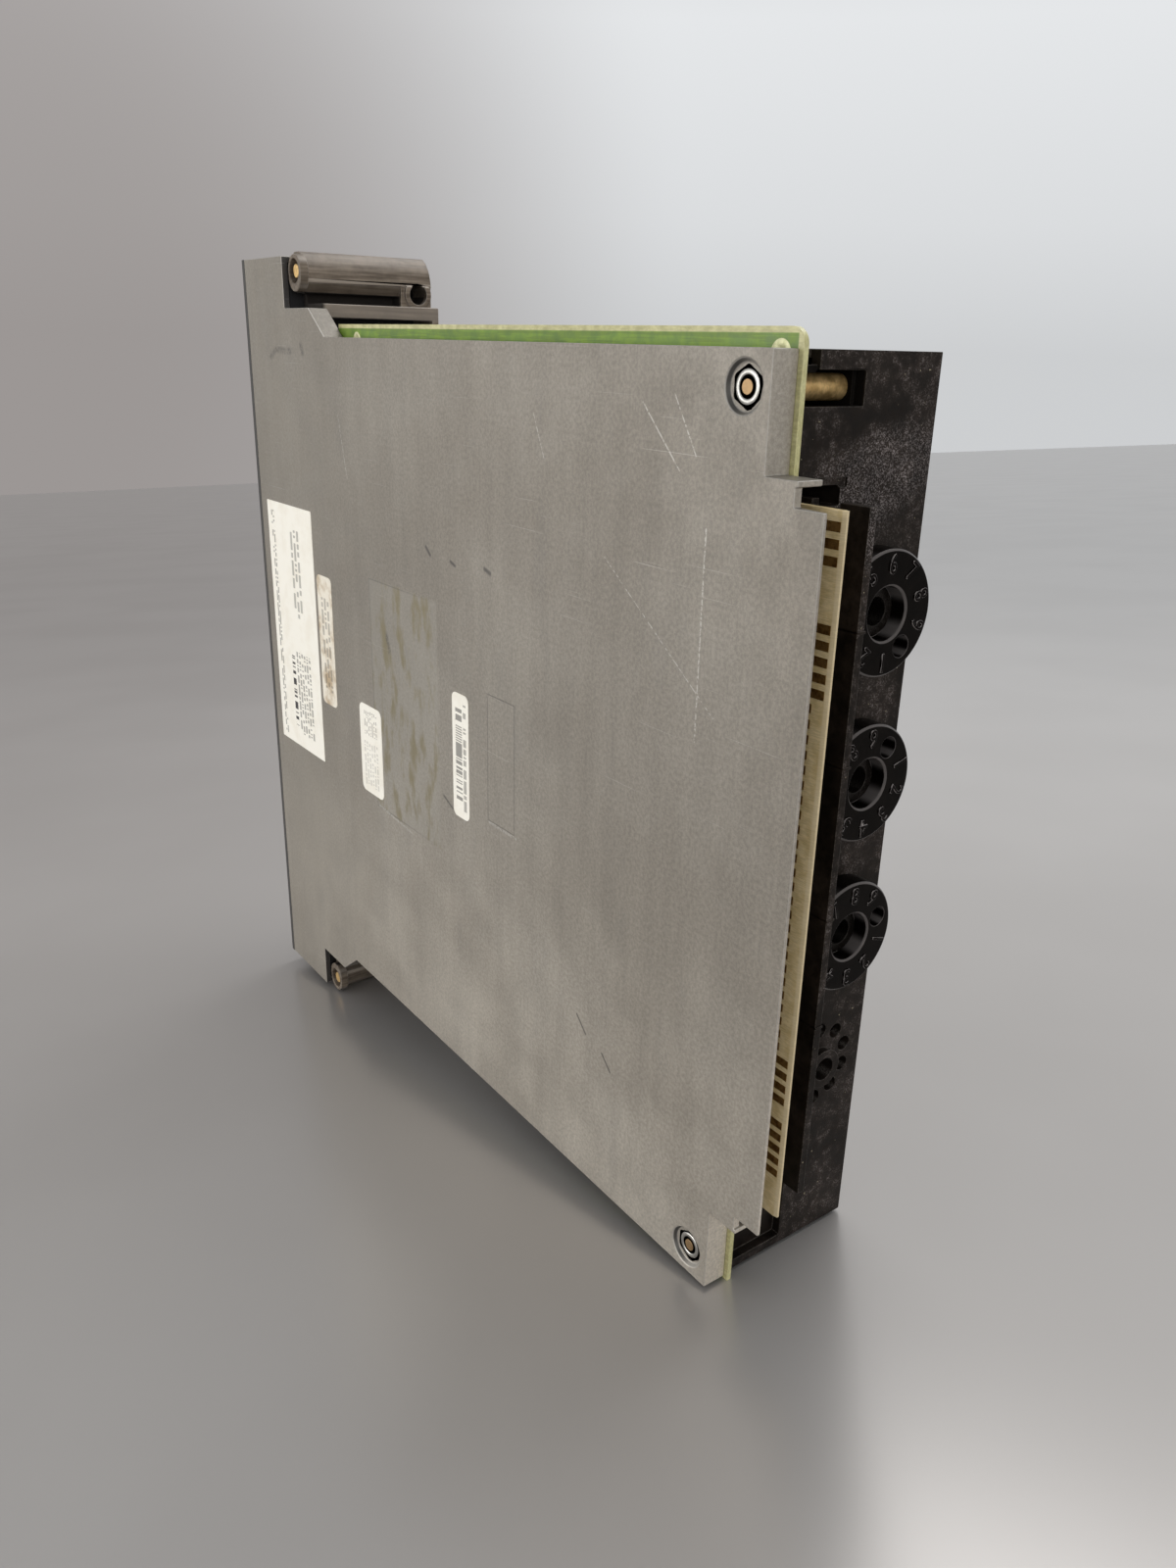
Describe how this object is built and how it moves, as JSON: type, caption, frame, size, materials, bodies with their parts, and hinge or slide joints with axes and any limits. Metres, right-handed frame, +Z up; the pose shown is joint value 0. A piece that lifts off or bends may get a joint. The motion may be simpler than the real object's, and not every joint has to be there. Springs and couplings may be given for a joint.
{
  "type": "programmable controller module",
  "caption": "Flat plug-in controller module: a circuit card with an edge connector between a die-cast side cover and a moulded back with turnable code discs.",
  "frame": {"origin": "middle of the footprint, at the level of the lowest point of the lower fixing block", "axes": "+Z up the module, +Y towards the edge connector at the back, +X out of the cast side cover"},
  "size_m": [0.0602, 0.34, 0.3272],
  "materials": {
    "cast_cover": "satin die-cast, scuffed",
    "board_green": "green solder mask over a tan laminate",
    "contact_metal": "tarnished plating",
    "black_plastic": "moulded, dusty",
    "gloss_black_plastic": "moulded, semi-gloss",
    "brown_plastic": "moulded, brownish grey",
    "front_plastic": "moulded, fine texture",
    "zinc_steel": "zinc plated",
    "bright_zinc": "bright zinc plated",
    "brass": "dull turned brass",
    "painted_sheet": "grey powder coat",
    "smoked_lens": "smoked clear moulding",
    "lamp_red": "tinted epoxy",
    "chip_plastic": "moulded epoxy",
    "capacitor_sleeve": "shrink sleeve",
    "label_paper": "coated, slightly soiled"
  },
  "bodies": {
    "chassis": {"side_cover": "cast_cover", "main_board": "board_green", "edge_contacts": "contact_metal", "rear_plate": "black_plastic", "upper_fixing_block": "brown_plastic", "lower_fixing_block": "brown_plastic", "cover_nuts": "bright_zinc", "rear_pillars": "brass", "pillar_screws": "zinc_steel", "front_rods": "brass", "front_body": "front_plastic", "status_lens": "smoked_lens", "lamp_board": "board_green", "status_lamps": "lamp_red", "connector_shells": "bright_zinc", "connector_inserts": "black_plastic", "jack_posts": "bright_zinc", "far_cover": "painted_sheet", "far_cover_screws": "zinc_steel", "daughter_board": "board_green", "inner_standoffs": "brass", "outer_standoffs": "brass", "board_header": "black_plastic", "processor_chips": "chip_plastic", "logic_chips": "chip_plastic", "capacitors": "capacitor_sleeve", "crystal_can": "zinc_steel", "main_label": "label_paper", "strip_label": "label_paper", "small_label": "label_paper", "barcode_label": "label_paper"},
    "disc_1": {"code_disc_1": "gloss_black_plastic"},
    "disc_2": {"code_disc_2": "gloss_black_plastic"},
    "disc_3": {"code_disc_3": "gloss_black_plastic"},
    "upper_screw": {"upper_fixing_screw": "zinc_steel", "upper_screw_clip": "zinc_steel"},
    "lower_screw": {"lower_fixing_screw": "zinc_steel", "lower_screw_clip": "zinc_steel"}
  },
  "joints": [
    {"name": "disc_1_turn", "type": "hinge", "parent": "chassis", "child": "disc_1", "pos_m": [-0.01158, 0.1525, 0.233], "axis": [0, 1, 0], "continuous": true},
    {"name": "disc_2_turn", "type": "hinge", "parent": "chassis", "child": "disc_2", "pos_m": [-0.01158, 0.1525, 0.1865], "axis": [0, 1, 0], "continuous": true},
    {"name": "disc_3_turn", "type": "hinge", "parent": "chassis", "child": "disc_3", "pos_m": [-0.01158, 0.1525, 0.14], "axis": [0, 1, 0], "continuous": true},
    {"name": "upper_screw_turn", "type": "hinge", "parent": "chassis", "child": "upper_screw", "pos_m": [-0.02357, -0.1655, 0.3133], "axis": [0, 1, 0], "continuous": true},
    {"name": "lower_screw_turn", "type": "hinge", "parent": "chassis", "child": "lower_screw", "pos_m": [-0.02357, -0.1655, 0.0139], "axis": [0, 1, 0], "continuous": true}
  ]
}
